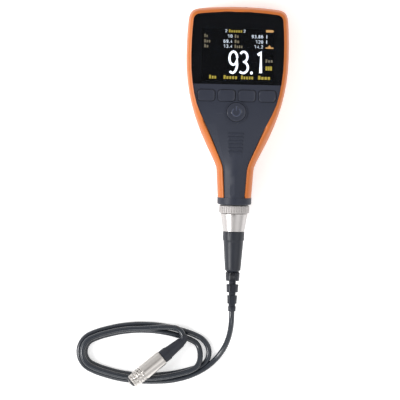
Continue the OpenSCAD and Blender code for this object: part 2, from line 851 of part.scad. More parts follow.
module power_key() {
    mark_r = 3.4;
    mark_w = 0.5;
    mark_d = 0.2;
    top_h = panel_h + power_rim_h + 0.2;
    color(key_grey) translate([0, power_y, 0]) rotate_extrude() polygon([
        [0, flange_low_h - stem_l],
        [stem_d / 2, flange_low_h - stem_l],
        [stem_d / 2, flange_low_h],
        [power_d / 2 + flange_lip, flange_low_h],
        [power_d / 2 + flange_lip, flange_top_h],
        [power_d / 2, flange_top_h],
        [power_d / 2, top_h - cap_edge],
        [power_d / 2 - cap_edge, top_h],
        [mark_r + mark_w, top_h],
        [mark_r + mark_w, top_h - mark_d],
        [mark_r, top_h - mark_d],
        [mark_r, top_h],
        [0, top_h]
    ]);
}

shaft_d = 5;
bail_w = 1.5;
bail_t = 1.4;
bail_low_h = cover_low_h + 0.3;
bail_r = latch_d / 2 - 1.1;
bail_pin_d = 0.9;
disc_low_h = bail_low_h + bail_t + 0.3;
disc_top_h = cover_top_h + 2.8;
ear_l = 1.6;
ear_w = 2;
ear_r = 0.4;
ear_out = bail_r - bail_w / 2 - slip;

cover_grooves = 5;
cover_groove_start = 6;
cover_groove_pitch = 2.4;
cover_groove_l = 18;
cover_groove_w = 1.2;
cover_groove_d = 0.5;

module battery_cover() {
    cup_top_h = tongue_low_h - slip;
    color(panel_grey) difference() {
        union() {
            translate([0, bay_mid_y, 0]) pad(cover_w, cover_l, cover_r, cover_low_h, cover_top_h);
            post(0, latch_y, latch_cup_d - 1, cover_low_h + 0.5, cup_top_h);
        }
        post(0, latch_y, latch_d + 2 * slip, -1, disc_top_h + slip);
        post(0, latch_y, shaft_d + 0.2, -1, body_t);
        for (k = [0 : cover_grooves - 1])
            translate([0, bay_top_y - cover_groove_start - cover_groove_pitch * k, 0])
            pad(cover_groove_l, cover_groove_w, cover_groove_w / 2 - 0.05, -1, cover_low_h + cover_groove_d);
    }
}

module cover_seal() {
    color(soft_black) difference() {
        bay_block(seal_w, seal_low_h, seal_low_h + seal_t);
        bay_block(0, 0, body_t);
    }
}

bail_y = latch_y;
bail_z = bail_low_h + bail_t / 2;
module battery_latch() {
    color(soft_black) difference() {
        union() {
            post(0, latch_y, latch_d, disc_low_h, disc_top_h);
            post(0, latch_y, shaft_d, disc_low_h, tongue_low_h + tongue_t);
            for (s = [-1, 1]) translate([s * (ear_out - ear_l / 2), latch_y, 0])
                pad(ear_l, ear_w, ear_r, bail_low_h, disc_low_h + 0.1);
            translate([-tongue_w / 2, latch_y - tongue_reach, tongue_low_h])
                cube([tongue_w, tongue_reach, tongue_t]);
        }
        translate([-latch_d, bail_y, bail_z]) rotate([0, 90, 0])
            cylinder(d = bail_pin_d + 0.2, h = 2 * latch_d);
    }
}

module latch_bail() {
    color(steel) {
        translate([0, bail_y, bail_low_h]) rotate_extrude(angle = 180)
            translate([bail_r - bail_w / 2, 0]) square([bail_w, bail_t]);
        for (s = [-1, 1]) translate([s * bail_r, bail_y, bail_z])
            rotate([0, -s * 90, 0]) cylinder(d = bail_pin_d, h = bail_r - ear_out + ear_l - slip);
    }
}

// A cell along +Y with its button at the far end
module cell(x, turned_round) {
    button_d = 5.4;
    button_l = 1;
    edge = 0.5;
    translate([x, turned_round ? cell_top_y : cell_low_y, cell_z])
        rotate([turned_round ? 90 : -90, 0, 0]) rotate_extrude() polygon([
            [0, 0],
            [cell_d / 2 - edge, 0],
            [cell_d / 2, edge],
            [cell_d / 2, cell_l - button_l - edge],
            [cell_d / 2 - edge, cell_l - button_l],
            [button_d / 2, cell_l - button_l],
            [button_d / 2, cell_l],
            [0, cell_l]
        ]);
}
module battery_1() { color([0.16, 0.17, 0.20]) cell(-cell_x, false); }
module battery_2() { color([0.16, 0.17, 0.20]) cell(cell_x, true); }

spring_wire = 0.7;
spring_turns = 3;
spring_steps = 10;
module coil_spring(low_r, high_r, l, wire, turns) {
    tube([for (k = [0 : turns * spring_steps])
        let (t = k / (turns * spring_steps), r = mix(low_r, high_r, t), a = 360 * turns * t)
        [r * cos(a), r * sin(a), l * t]], wire, 6);
}
module battery_springs() {
    start = spring_wire / 2 + 0.15;
    l = spring_room - 2 * start - 0.4;
    color(steel) for (s = [-1, 1])
        translate([s * cell_x, divider_y + start + 0.4, cell_z]) rotate([-90, 0, 0])
            coil_spring(4.2, 2.6, l, spring_wire, spring_turns);
}

contact_t = 0.4;
module battery_contacts() {
    plate_h = 9;
    color(brass) {
        for (s = [-1, 1]) translate([s * cell_x - 4.5, divider_y + seam, cell_z - plate_h / 2])
            cube([9, contact_t, plate_h]);
        translate([-cell_x - 4.5, bay_top_y - seam - contact_t, cell_z - plate_h / 2])
            cube([2 * cell_x + 9, contact_t, plate_h]);
    }
}

flange_disc_t = 1.2;
plug_bore_d = socket_d - 1.8;
socket_floor_y = collar_y + 8;
module probe_socket() {
    color(steel) turned([
        [plug_bore_d / 2, -collar_l - socket_l],
        [socket_d / 2, -collar_l - socket_l],
        [socket_d / 2, -collar_l + seam],
        [collar_bore_d / 2 - easy, -collar_l + 2 * seam],
        [collar_bore_d / 2 - easy, -collar_l + 2 * seam + flange_disc_t],
        [plug_bore_d / 2, -collar_l + 2 * seam + flange_disc_t]
    ]);
}

pin_circle_r = 3.2;
module pin_pattern(d, from_y, to_y) {
    for (k = [0 : pin_count - 1])
        rotate_about_axis(360 * k / pin_count)
            translate([0, from_y, neck_axis_h + pin_circle_r]) rotate([-90, 0, 0])
                cylinder(d = d, h = to_y - from_y);
}
module rotate_about_axis(a) {
    translate([0, 0, neck_axis_h]) rotate([0, a, 0]) translate([0, 0, -neck_axis_h]) children();
}

socket_back_y = collar_y + socket_l;
module socket_insert() {
    color(soft_black) difference() {
        axis_rod(plug_bore_d - 2 * seam, socket_floor_y, socket_back_y - 0.5);
        pin_pattern(pin_d + 0.1, socket_floor_y - 1, socket_back_y + 1);
    }
}
module socket_pins() {
    color(brass) pin_pattern(pin_d, socket_floor_y - 4.5, socket_back_y - 0.2);
}

flex_t = 0.4;
flex_w = 8;
flex_run = 5;
module socket_flex() {
    start_y = socket_back_y - 0.15;
    low = neck_axis_h - flex_t / 2;
    high = board_low_h - 0.1 - flex_t;
    line = [
        [start_y, low],
        [start_y + flex_run, low],
        [board_low_y - flex_run, high],
        [board_low_y + flex_run, high]
    ];
    color([0.62, 0.42, 0.16]) translate([-flex_w / 2, 0, 0]) rotate([90, 0, 90]) linear_extrude(flex_w)
        polygon(concat(line, [for (k = [3 : -1 : 0]) line[k] + [0, flex_t]]));
}

module case_screws() {
    color(steel) for (p = case_screw_places) difference() {
        union() {
            post(p.x, p.y, case_head_d, 1.15, 1.15 + case_head_t);
            post(p.x, p.y, case_screw_d, 1.15, parting_h + case_thread_l);
        }
        translate([p.x - 1.6, p.y - 0.3, 0]) cube([3.2, 0.6, 1.9]);
        translate([p.x - 0.3, p.y - 1.6, 0]) cube([0.6, 3.2, 1.9]);
    }
}

module board_screws() {
    color(steel) for (p = board_screw_places) {
        post(p.x, p.y, board_head_d, board_low_h - seam - board_head_t, board_low_h - seam);
        post(p.x, p.y, board_screw_d, board_low_h - 0.2, board_top_h + board_thread_l);
    }
}

// Plug: distances below the end of the collar
plug_gap = 0.7;
ring_low = plug_gap + ring_l;
sleeve_low = ring_low + 0.2;
boot_low = sleeve_low + sleeve_l;
relief_low = boot_low + boot_l;
relief_end = relief_low + relief_l;
spigot_d = collar_bore_d - 2 * slip;
spigot_l = collar_l - flange_disc_t - 0.6;
nose_d = 13.2;
nose_bore_d = plug_bore_d - 0.2;
groove_d = 0.5;

module plug_seal() {
    color(soft_black) turned([
        [collar_bore_d / 2 + 0.3, seam],
        [ring_d / 2 - 1, seam],
        [ring_d / 2 - 1, plug_gap - 0.25],
        [collar_bore_d / 2 + 0.3, plug_gap - 0.25]
    ]);
}

module coupling_ring() {
    edge = 0.5;
    color(steel) difference() {
        turned([
            [nose_d / 2 + slip, -spigot_l],
            [spigot_d / 2, -spigot_l],
            [spigot_d / 2, plug_gap],
            [ring_d / 2 - edge, plug_gap],
            [ring_d / 2, plug_gap + edge],
            [ring_d / 2, ring_low - edge],
            [ring_d / 2 - edge, ring_low],
            [nose_d / 2 + slip, ring_low]
        ]);
        for (k = [0 : ring_grooves - 1]) rotate_about_axis(360 * k / ring_grooves)
            translate([0, end_y - ring_low + 0.9, neck_axis_h + ring_d / 2]) rotate([-90, 0, 0])
                cylinder(d = groove_d, h = ring_l - 1.8, $fn = 16);
    }
}

module plug_sleeve() {
    edge = 0.4;
    color(steel) turned([
        [nose_bore_d / 2 + seam, -spigot_l + 0.4],
        [nose_d / 2, -spigot_l + 0.4],
        [nose_d / 2, sleeve_low],
        [sleeve_d / 2 - edge, sleeve_low],
        [sleeve_d / 2, sleeve_low + edge],
        [sleeve_end_d / 2, boot_low - 0.1],
        [boot_end_d / 2, boot_low - 0.1],
        [boot_end_d / 2, sleeve_low + 4],
        [nose_bore_d / 2 + seam, sleeve_low + 4]
    ]);
}

module plug_insert() {
    color(soft_black) difference() {
        axis_rod(nose_bore_d - seam, end_y - sleeve_low - 3.8, socket_floor_y - 0.4);
        pin_pattern(pin_d + 0.3, socket_floor_y - 5.5, socket_floor_y + 1);
    }
}

relief_pitch = relief_l / relief_count;
relief_gap = 0.45;
function relief_ring(k) =
    let (
        d = mix(relief_d, relief_end_d, k / (relief_count - 1)),
        from = relief_low + k * relief_pitch + relief_pitch * relief_gap,
        to = relief_low + (k + 1) * relief_pitch
    )
    [[relief_core_d / 2, from], [d / 2, from], [d / 2 - 0.25, to], [relief_core_d / 2, to]];

module strain_relief() {
    spigot = boot_end_d - 0.2;
    color(soft_black) turned(concat(
        [
            [0, sleeve_low + 4.2],
            [spigot / 2, sleeve_low + 4.2],
            [spigot / 2, boot_low],
            [boot_d / 2 - 0.4, boot_low],
            [boot_d / 2, boot_low + 0.4],
            [boot_d / 2, boot_low + boot_band_l - 0.3],
            [boot_d / 2 - 0.5, boot_low + boot_band_l],
            [boot_end_d / 2, relief_low - 0.6],
            [boot_end_d / 2 - 0.6, relief_low]
        ],
        [for (k = [0 : relief_count - 1]) each relief_ring(k)],
        [[0, relief_end]]
    ));
}

// Cable: the free tail, the coil and the lead to the probe
cable_exit = [0, end_y - relief_end, neck_axis_h];
cable_z = cable_d / 2;
tail_drop = neck_axis_h - cable_z;
tail_steps = [
    [0, 0, 1], [0, -4, 1], [-0.1, -8, 0.92], [-0.5, -12.5, 0.76], [-1.3, -17.3, 0.57],
    [-2.7, -22.4, 0.37], [-4.7, -27.2, 0.2], [-7.2, -31.5, 0.09], [-10.1, -35.4, 0.02],
    [-13.4, -38.9, 0], [-17.2, -42.1, 0], [-21.4, -44.9, 0], [-26, -47.3, 0], [-31, -49.4, 0],
    [-37, -51.2, 0], [-44, -52.6, 0], [-51, -53.2, 0]
];
tail_points = [for (p = tail_steps) [p.x, cable_exit.y + p.y, cable_z + tail_drop * p.z]];

// The coil is an oval of four arcs, wound inwards
coil_x = -62.5;
coil_y = cable_exit.y - 32.9;
coil_half_l = 47;
coil_half_w = 20.6;
coil_end_r = 14;
coil_side_r = (pow(coil_half_l, 2) + pow(coil_half_w, 2) - 2 * coil_half_l * coil_end_r)
    / (2 * (coil_half_w - coil_end_r));
coil_side_a = asin((coil_half_l - coil_end_r) / (coil_side_r - coil_end_r));
strand_pitch = 4.3;
module coil_plan(inset) {
    end_r = coil_end_r - inset;
    side_r = coil_side_r - inset;
    side_c = coil_side_r - coil_half_w;
    steps = 8;
    translate([coil_x, coil_y]) polygon(concat(
        [for (k = [0 : steps]) let (a = mix(90 - coil_side_a, -90 + coil_side_a, k / steps))
            [coil_half_l - coil_end_r + end_r * cos(a), end_r * sin(a)]],
        [for (k = [1 : steps - 1]) let (a = mix(-90 + coil_side_a, -90 - coil_side_a, k / steps))
            [side_r * cos(a), side_c + side_r * sin(a)]],
        [for (k = [0 : steps]) let (a = mix(-90 - coil_side_a, -270 + coil_side_a, k / steps))
            [coil_end_r - coil_half_l + end_r * cos(a), end_r * sin(a)]],
        [for (k = [1 : steps - 1]) let (a = mix(90 + coil_side_a, 90 - coil_side_a, k / steps))
            [side_r * cos(a), -side_c + side_r * sin(a)]]
    ));
}
upper_inset = strand_pitch / 2;
upper_end_x = coil_x + 12.5;
module cable_coil() {
    half = cable_d / 2 + 0.1;
    color(soft_black) {
        linear_extrude(cable_d) difference() {
            coil_plan(-half);
            coil_plan(strand_pitch + 2 + half);
        }
        translate([0, 0, cable_d - 0.1]) linear_extrude(cable_d + 0.1) intersection() {
            difference() {
                coil_plan(upper_inset - half);
                coil_plan(upper_inset + half);
            }
            translate([coil_x - head_w, coil_y - head_w]) square([upper_end_x - coil_x + head_w, 2 * head_w]);
        }
    }
}

module cable_tail() { color(soft_black) tube(tail_points, cable_d, 10); }

// Probe: a frame whose Z runs from the face back to the cable
boot_end_point = [coil_x + 26.8, coil_y + 8.87, 2.05 * cable_d];
probe_way = [-0.772, -0.636];
probe_pitch = 8.5;
probe_front_l = probe_nose_l + probe_sleeve_l + 0.3;
probe_l = probe_front_l + probe_boot_l;
probe_axis = concat(unit(probe_way) * cos(probe_pitch), [sin(probe_pitch)]);
face_point = boot_end_point + probe_axis * probe_l;
module on_probe() {
    translate(face_point) rotate([0, 0, atan2(-probe_way.y, -probe_way.x)])
        rotate([0, 90 + probe_pitch, 0]) children();
}

// The boot bends towards the coil, and the cable goes on from its end in a wider turn
bend_r = 4.2;
bend_a = 72.5;
boot_out = -probe_axis;
boot_side = concat(unit([probe_way.y, -probe_way.x]), [0]);
boot_tip = boot_end_point + bend_r * (boot_out * sin(bend_a) + boot_side * (1 - cos(bend_a)));
tip_way = boot_out * cos(bend_a) + boot_side * sin(bend_a);

turn_r = 7.8;
turn_steps = 6;
tip_heading = atan2(tip_way.y, tip_way.x);
coil_heading = 180;
lead_start = boot_tip + tip_way * seam;
turn_start = lead_start + tip_way * 0.5;
turn_middle = turn_start + turn_r * [-sin(tip_heading), cos(tip_heading), 0];
upper_z = 1.5 * cable_d + 0.05;
lead_points = concat(
    [[upper_end_x, coil_y + 19.2, upper_z], [upper_end_x + 4, coil_y + 19.35, upper_z]],
    [for (k = [0 : turn_steps])
        let (share = k / turn_steps, heading = mix(coil_heading, tip_heading, share))
        [turn_middle.x + turn_r * sin(heading), turn_middle.y - turn_r * cos(heading),
            mix(upper_z, turn_start.z, share)]],
    [lead_start]
);
module cable_lead() { color(soft_black) tube(lead_points, cable_d, 10); }

sleeve_wall = (probe_d - probe_nose_d) / 2 - 0.2;
sleeve_bore_d = probe_d - 2 * sleeve_wall;
shaft_rod_d = probe_nose_d - 2.4;
shoulder_d = shaft_rod_d + 0.6;
nose_back = probe_nose_l + 0.8;
core_flange_z = probe_front_l - 3;
module probe_boot() {
    spigot_d = sleeve_bore_d - 2 * slip;
    bore_d = 4.2;
    bend_d = probe_boot_end_d - 1;
    bend_root_a = 4;
    color(soft_black) on_probe() {
        rotate_extrude() polygon([
            [bore_d / 2, core_flange_z + 0.1],
            [spigot_d / 2, core_flange_z + 0.1],
            [spigot_d / 2, probe_front_l],
            [probe_d / 2 - 0.6, probe_front_l],
            [probe_d / 2 - 0.6, probe_front_l + 5],
            [probe_d / 2 - 1.1, probe_front_l + 5.6],
            [probe_boot_end_d / 2, probe_l - 0.4],
            [probe_boot_end_d / 2 - 0.3, probe_l],
            [0, probe_l],
            [0, probe_front_l + 8],
            [bore_d / 2, probe_front_l + 8]
        ]);
        translate([0, bend_r, probe_l]) rotate([90, 0, -90]) rotate([0, 0, -bend_root_a])
            rotate_extrude(angle = bend_a + bend_root_a) translate([bend_r, 0]) circle(d = bend_d);
    }
}

module probe_sleeve() {
    low = probe_nose_l;
    high = probe_nose_l + probe_sleeve_l;
    shoulder_low = nose_back + probe_travel + 3.6;
    edge = 0.5;
    groove = 0.45;
    groove_w = 0.9;
    groove_pitch = 2;
    color(steel) on_probe() rotate_extrude() polygon(concat(
        [[sleeve_bore_d / 2, low], [probe_d / 2 - edge, low], [probe_d / 2, low + edge]],
        [for (k = [0 : 2]) let (z = low + 2 + k * groove_pitch) each [
            [probe_d / 2, z], [probe_d / 2 - groove, z + 0.15],
            [probe_d / 2 - groove, z + groove_w - 0.15], [probe_d / 2, z + groove_w]]],
        [
            [probe_d / 2, high - edge],
            [probe_d / 2 - edge, high],
            [sleeve_bore_d / 2, high],
            [sleeve_bore_d / 2, shoulder_low + 1.2],
            [shoulder_d / 2, shoulder_low + 1.2],
            [shoulder_d / 2, shoulder_low],
            [sleeve_bore_d / 2, shoulder_low]
        ]
    ));
}

face_t = 1.8;
face_proud = 1.2;
pole_proud = 0.8;
module probe_core() {
    color(steel) on_probe() rotate_extrude() polygon([
        [face_d / 2 + seam, 0.3],
        [probe_nose_d / 2 - 0.4, 0.3],
        [probe_nose_d / 2, 0.7],
        [probe_nose_d / 2, 1.9],
        [probe_nose_d / 2 - 0.3, 2.1],
        [probe_nose_d / 2 - 0.3, 2.7],
        [probe_nose_d / 2, 2.9],
        [probe_nose_d / 2, nose_back],
        [shaft_rod_d / 2, nose_back],
        [shaft_rod_d / 2, core_flange_z - 1.4],
        [sleeve_bore_d / 2 - slip, core_flange_z - 1.4],
        [sleeve_bore_d / 2 - slip, core_flange_z],
        [2, core_flange_z],
        [2, probe_front_l + 7.8],
        [0, probe_front_l + 7.8],
        [0, face_t + seam],
        [face_d / 2 + seam, face_t + seam]
    ]);
}

module probe_face() {
    hole_r = pole_d / 2 + seam;
    color(gloss_black) on_probe() rotate_extrude() polygon([
        [hole_r, face_t],
        [face_d / 2, face_t],
        [face_d / 2, 0.1],
        [face_d / 2 - 0.5, -face_proud * 0.6],
        [hole_r + 0.6, -face_proud],
        [hole_r, -face_proud]
    ]);
}

module probe_pole() {
    color(steel) on_probe() rotate_extrude() polygon([
        [0, -face_proud - pole_proud],
        [pole_d / 4, -face_proud - pole_proud * 0.85],
        [pole_d / 2, -face_proud - pole_proud * 0.2],
        [pole_d / 2, face_t],
        [0, face_t]
    ]);
}

module probe_spring() {
    wire = 0.7;
    color(steel) on_probe() translate([0, 0, nose_back + wire / 2 + 0.1])
        coil_spring(shaft_rod_d / 2 + 0.55, shaft_rod_d / 2 + 0.55, 2.2, wire, 2);
}

bumper();
front_case();
rear_case();
neck_collar();
display_lens();
lens_mask();
display_module();
display_frame();
main_board();
board_chips();
sounder();
usb_socket();
port_flap();
keypad_mat();
key_switches();
softkey_1();
softkey_2();
softkey_3();
softkey_4();
power_key();
battery_cover();
cover_seal();
battery_latch();
latch_bail();
battery_1();
battery_2();
battery_springs();
battery_contacts();
probe_socket();
socket_insert();
socket_pins();
socket_flex();
case_screws();
board_screws();
plug_seal();
coupling_ring();
plug_sleeve();
plug_insert();
strain_relief();
cable_tail();
cable_coil();
cable_lead();
probe_boot();
probe_sleeve();
probe_core();
probe_face();
probe_pole();
probe_spring();
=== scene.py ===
# Hand-held coating thickness gauge with a plug-in probe: finishes, lit display and cable.
import json
import math

import bpy
from mathutils import Matrix, Quaternion, Vector

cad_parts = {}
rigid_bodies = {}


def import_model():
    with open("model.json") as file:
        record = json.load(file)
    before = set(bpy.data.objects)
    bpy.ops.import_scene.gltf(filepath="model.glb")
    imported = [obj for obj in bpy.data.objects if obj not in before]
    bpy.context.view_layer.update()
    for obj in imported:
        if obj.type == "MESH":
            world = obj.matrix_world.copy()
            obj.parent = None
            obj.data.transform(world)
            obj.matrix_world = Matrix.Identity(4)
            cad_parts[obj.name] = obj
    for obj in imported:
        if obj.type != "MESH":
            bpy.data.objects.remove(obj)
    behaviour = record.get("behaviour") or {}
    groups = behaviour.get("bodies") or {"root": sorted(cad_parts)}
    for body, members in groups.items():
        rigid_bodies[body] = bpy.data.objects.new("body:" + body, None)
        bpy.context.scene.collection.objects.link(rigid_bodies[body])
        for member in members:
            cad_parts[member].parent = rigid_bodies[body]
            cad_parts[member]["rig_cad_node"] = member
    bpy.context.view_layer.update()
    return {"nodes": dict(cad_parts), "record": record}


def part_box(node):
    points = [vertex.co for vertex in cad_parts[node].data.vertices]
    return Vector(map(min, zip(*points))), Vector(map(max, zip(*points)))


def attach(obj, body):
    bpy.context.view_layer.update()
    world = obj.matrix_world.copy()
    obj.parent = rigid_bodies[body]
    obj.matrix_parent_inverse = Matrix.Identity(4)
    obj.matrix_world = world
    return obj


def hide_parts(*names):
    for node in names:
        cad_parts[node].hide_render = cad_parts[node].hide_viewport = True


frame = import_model()
nodes = frame["nodes"]
MM = 0.001

# Camera: it looks down on the gauge from above its head, as the photo looks at the upright gauge
VIEW_PLACE = Vector((0, 45, 2400)) * MM
VIEW_TARGET = Vector((-24.56, -67.98, 18)) * MM
VIEW_ROLL = math.radians(1.305)
VIEW_LENS = 300
VIEW_REACH = 20
SENSOR = 36.0

view_ahead = (VIEW_TARGET - VIEW_PLACE).normalized()
view_right = view_ahead.cross(Vector((0, 1, 0))).normalized()
view_up = view_right.cross(view_ahead)
view_frame = Matrix((view_right, view_up, -view_ahead)).transposed()
view_turn = view_frame.to_quaternion() @ Quaternion((0, 0, 1), VIEW_ROLL)
bpy.ops.object.camera_add(location=VIEW_PLACE, rotation=view_turn.to_euler())
camera = bpy.context.object
camera.name = "photo_camera"
camera.data.lens = VIEW_LENS
camera.data.sensor_width = SENSOR
camera.data.clip_end = VIEW_REACH
bpy.context.scene.camera = camera

# Patterns of the finishes, and of the painted shade in corners: repeats in a metre, the stops of their
# ramps and the shares of colour
FINE = 2
TONE_SCALE, TONE_DETAIL, TONE_STOPS = 45, 4, (0.3, 0.7)
SHEEN_SCALE, SHEEN_SPREAD = 160, 0.05
BRUSH_SCALE, BRUSH_STOPS, BRUSH_DARK, BRUSH_RELIEF = 900, (0.25, 0.75), 0.92, 0.4
BRUSH_ROUGH = (0.85, 1.15)
PIXEL_SCALE, PIXEL_STOPS, PIXEL_DARK = 2600, (0.2, 0.8), 0.9
UNLIT_SHARE, LIT_ROUGH = 0.2, 0.5
HAZE_SCALE, HAZE_ROUGH = 120, (0.02, 0.06)
# Painted shade in gaps and inner corners: the stops of its ramp, the share of colour left where it is
# deepest, and its rays
CORNER_SHADE_STOPS, CORNER_SHADE_LEFT, CORNER_SHADE_RAYS = (0.32, 0.64), 0.3, 8
WHITE = (1, 1, 1)


# Small tools for the materials
def new_material(name):
    material = bpy.data.materials.new(name)
    material.use_nodes = True
    tree = material.node_tree
    shader = tree.nodes["Principled BSDF"]
    return material, tree, shader


def noise(tree, scale, detail, stretch=(1, 1, 1)):
    place = tree.nodes.new("ShaderNodeTexCoord").outputs["Object"]
    mapping = tree.nodes.new("ShaderNodeMapping")
    mapping.inputs["Scale"].default_value = stretch
    tree.links.new(place, mapping.inputs["Vector"])
    texture = tree.nodes.new("ShaderNodeTexNoise")
    texture.inputs["Scale"].default_value = scale
    texture.inputs["Detail"].default_value = detail
    tree.links.new(mapping.outputs["Vector"], texture.inputs["Vector"])
    return texture.outputs["Fac"]


def ramp(tree, value, stops, low_colour, high_colour):
    colours = tree.nodes.new("ShaderNodeValToRGB")
    first, last = colours.color_ramp.elements
    first.position, last.position = stops
    first.color = (*low_colour, 1)
    last.color = (*high_colour, 1)
    tree.links.new(value, colours.inputs["Fac"])
    return colours.outputs["Color"]


def spread(tree, value, low, high):
    levels = tree.nodes.new("ShaderNodeMapRange")
    levels.inputs["To Min"].default_value = low
    levels.inputs["To Max"].default_value = high
    tree.links.new(value, levels.inputs["Value"])
    return levels.outputs["Result"]


def bump(tree, shader, height, distance, strength=1.0):
    relief = tree.nodes.new("ShaderNodeBump")
    relief.inputs["Distance"].default_value = distance
    relief.inputs["Strength"].default_value = strength
    tree.links.new(height, relief.inputs["Height"])
    tree.links.new(relief.outputs["Normal"], shader.inputs["Normal"])


def shade(colour, share):
    return tuple(c * share for c in colour)


def painted_corner_shade(tree, colour, shade_reach_mm):
    """A colour with painted shade: darker in gaps and along inner corners, where shade falls."""
    # Painted shade: the occlusion of nearby faces darkens the colour
    corners = tree.nodes.new("ShaderNodeAmbientOcclusion")
    corners.inputs["Distance"].default_value = shade_reach_mm * MM
    corners.samples = CORNER_SHADE_RAYS
    level = ramp(tree, corners.outputs["AO"], CORNER_SHADE_STOPS, shade(WHITE, CORNER_SHADE_LEFT), WHITE)
    darker = tree.nodes.new("ShaderNodeMix")
    darker.data_type = "RGBA"
    darker.blend_type = "MULTIPLY"
    darker.inputs["Factor"].default_value = 1.0
    tree.links.new(colour, darker.inputs["A"])
    tree.links.new(level, darker.inputs["B"])
    return darker.outputs["Result"]


def moulded(name, colour, rough, grain_mm, depth_mm, change=0.06, corner_shade_mm=0.0, gloss=0.5):
    """A moulded plastic or rubber: slow change of colour, patches of sheen, a fine grain, and painted
    shade in gaps and inner corners where a reach for it is given.
    """
    material, tree, shader = new_material(name)
    shader.inputs["Specular IOR Level"].default_value = gloss
    slow = noise(tree, TONE_SCALE, TONE_DETAIL)
    tone = ramp(tree, slow, TONE_STOPS, shade(colour, 1 - change), shade(colour, 1 + change))
    # Painted shade: the colour darkens in gaps and along inner corners
    if corner_shade_mm:
        tone = painted_corner_shade(tree, tone, corner_shade_mm)
    tree.links.new(tone, shader.inputs["Base Color"])
    sheen = noise(tree, SHEEN_SCALE, FINE)
    sheen = spread(tree, sheen, rough - SHEEN_SPREAD, rough + SHEEN_SPREAD)
    tree.links.new(sheen, shader.inputs["Roughness"])
    bump(tree, shader, noise(tree, 1 / (grain_mm * MM), FINE), depth_mm * MM)
    return material


def metal(name, colour, rough, brush=(1, 1, 1), depth_mm=0.002):
    """A turned or brushed metal: fine lines along one way, and patches of polish."""
    material, tree, shader = new_material(name)
    shader.inputs["Metallic"].default_value = 1.0
    lines = noise(tree, BRUSH_SCALE, FINE, brush)
    tone = ramp(tree, lines, BRUSH_STOPS, shade(colour, BRUSH_DARK), colour)
    tree.links.new(tone, shader.inputs["Base Color"])
    least, most = BRUSH_ROUGH
    tree.links.new(spread(tree, lines, rough * least, rough * most), shader.inputs["Roughness"])
    bump(tree, shader, lines, depth_mm * MM, BRUSH_RELIEF)
    return material


def lit(name, colour, strength):
    """A lit part of the display, with the fine grain of its pixels."""
    material, tree, shader = new_material(name)
    pixels = noise(tree, PIXEL_SCALE, 0)
    glow = ramp(tree, pixels, PIXEL_STOPS, shade(colour, PIXEL_DARK), colour)
    tree.links.new(glow, shader.inputs["Emission Color"])
    shader.inputs["Base Color"].default_value = (*shade(colour, UNLIT_SHARE), 1)
    shader.inputs["Emission Strength"].default_value = strength
    shader.inputs["Roughness"].default_value = LIT_ROUGH
    return material


def clear_window(name, tint, ior):
    """A clear window with faint patches of haze."""
    material, tree, shader = new_material(name)
    shader.inputs["Base Color"].default_value = (*tint, 1)
    shader.inputs["Transmission Weight"].default_value = 1.0
    shader.inputs["IOR"].default_value = ior
    haze = spread(tree, noise(tree, HAZE_SCALE, FINE), *HAZE_ROUGH)
    tree.links.new(haze, shader.inputs["Roughness"])
    return material


# Finishes of the gauge
ORANGE = (0.575, 0.150, 0.021)
PANEL = (0.021, 0.025, 0.041)
BLACK = (0.012, 0.014, 0.019)
JACKET = (0.014, 0.019, 0.028)
BOOT = (0.017, 0.020, 0.029)
MASK = (0.004, 0.005, 0.008)
SCREEN = (0.003, 0.004, 0.007)
INNER_GREY = (0.52, 0.52, 0.55)
BOARD_GREEN = (0.02, 0.13, 0.06)
CHIP = (0.010, 0.010, 0.012)
CELL = (0.03, 0.035, 0.05)
FLEX = (0.36, 0.16, 0.03)
STEEL = (0.66, 0.63, 0.60)
WARM_METAL = (0.70, 0.67, 0.66)
BRASS = (0.72, 0.48, 0.16)
SMOKE = (0.50, 0.54, 0.60)
ALONG_PLUG = (0.2, 3, 0.2)

# Painted shade along the band's inner edge by the panel and in its gaps
orange_rubber = moulded(
    "orange_rubber", ORANGE, rough=0.42, grain_mm=0.35, depth_mm=0.012,
    change=0.04, corner_shade_mm=1.5, gloss=0.42,
)
# Painted shade on the panel by the band, round the keys and between the grip ribs
panel_plastic = moulded(
    "panel_plastic", PANEL, rough=0.46, grain_mm=0.30, depth_mm=0.012,
    corner_shade_mm=2.2, gloss=0.35,
)
key_rubber = moulded(
    "key_rubber", shade(PANEL, 1.05), rough=0.30, grain_mm=0.25, depth_mm=0.006, gloss=0.7,
)
key_print = moulded("key_print", shade(PANEL, 2.6), rough=0.45, grain_mm=0.25, depth_mm=0.004, gloss=0.4)
black_rubber = moulded("black_rubber", BLACK, rough=0.45, grain_mm=0.30, depth_mm=0.020, change=0.10)
# Painted shade between the strands of the coil
cable_jacket = moulded(
    "cable_jacket", JACKET, rough=0.26, grain_mm=0.40, depth_mm=0.002,
    change=0.10, corner_shade_mm=3.0, gloss=0.7,
)
# Painted shade in the gaps between the rings of the boots
boot_rubber = moulded(
    "boot_rubber", BOOT, rough=0.40, grain_mm=0.30, depth_mm=0.012,
    change=0.10, corner_shade_mm=2.0, gloss=0.4,
)
inner_plastic = moulded("inner_plastic", BLACK, rough=0.40, grain_mm=0.30, depth_mm=0.010)
mask_print = moulded("mask_print", MASK, rough=0.30, grain_mm=0.20, depth_mm=0.002)
screen_glass = moulded("screen_glass", SCREEN, rough=0.20, grain_mm=0.20, depth_mm=0.001)
frame_plastic = moulded("frame_plastic", INNER_GREY, rough=0.45, grain_mm=0.30, depth_mm=0.010)
board_resin = moulded("board_resin", BOARD_GREEN, rough=0.35, grain_mm=0.15, depth_mm=0.008, change=0.15)
chip_resin = moulded("chip_resin", CHIP, rough=0.55, grain_mm=0.10, depth_mm=0.006)
cell_wrap = moulded("cell_wrap", CELL, rough=0.25, grain_mm=0.50, depth_mm=0.004)
flex_film = moulded("flex_film", FLEX, rough=0.30, grain_mm=0.40, depth_mm=0.004, change=0.15)
brushed_steel = metal("brushed_steel", STEEL, rough=0.36)
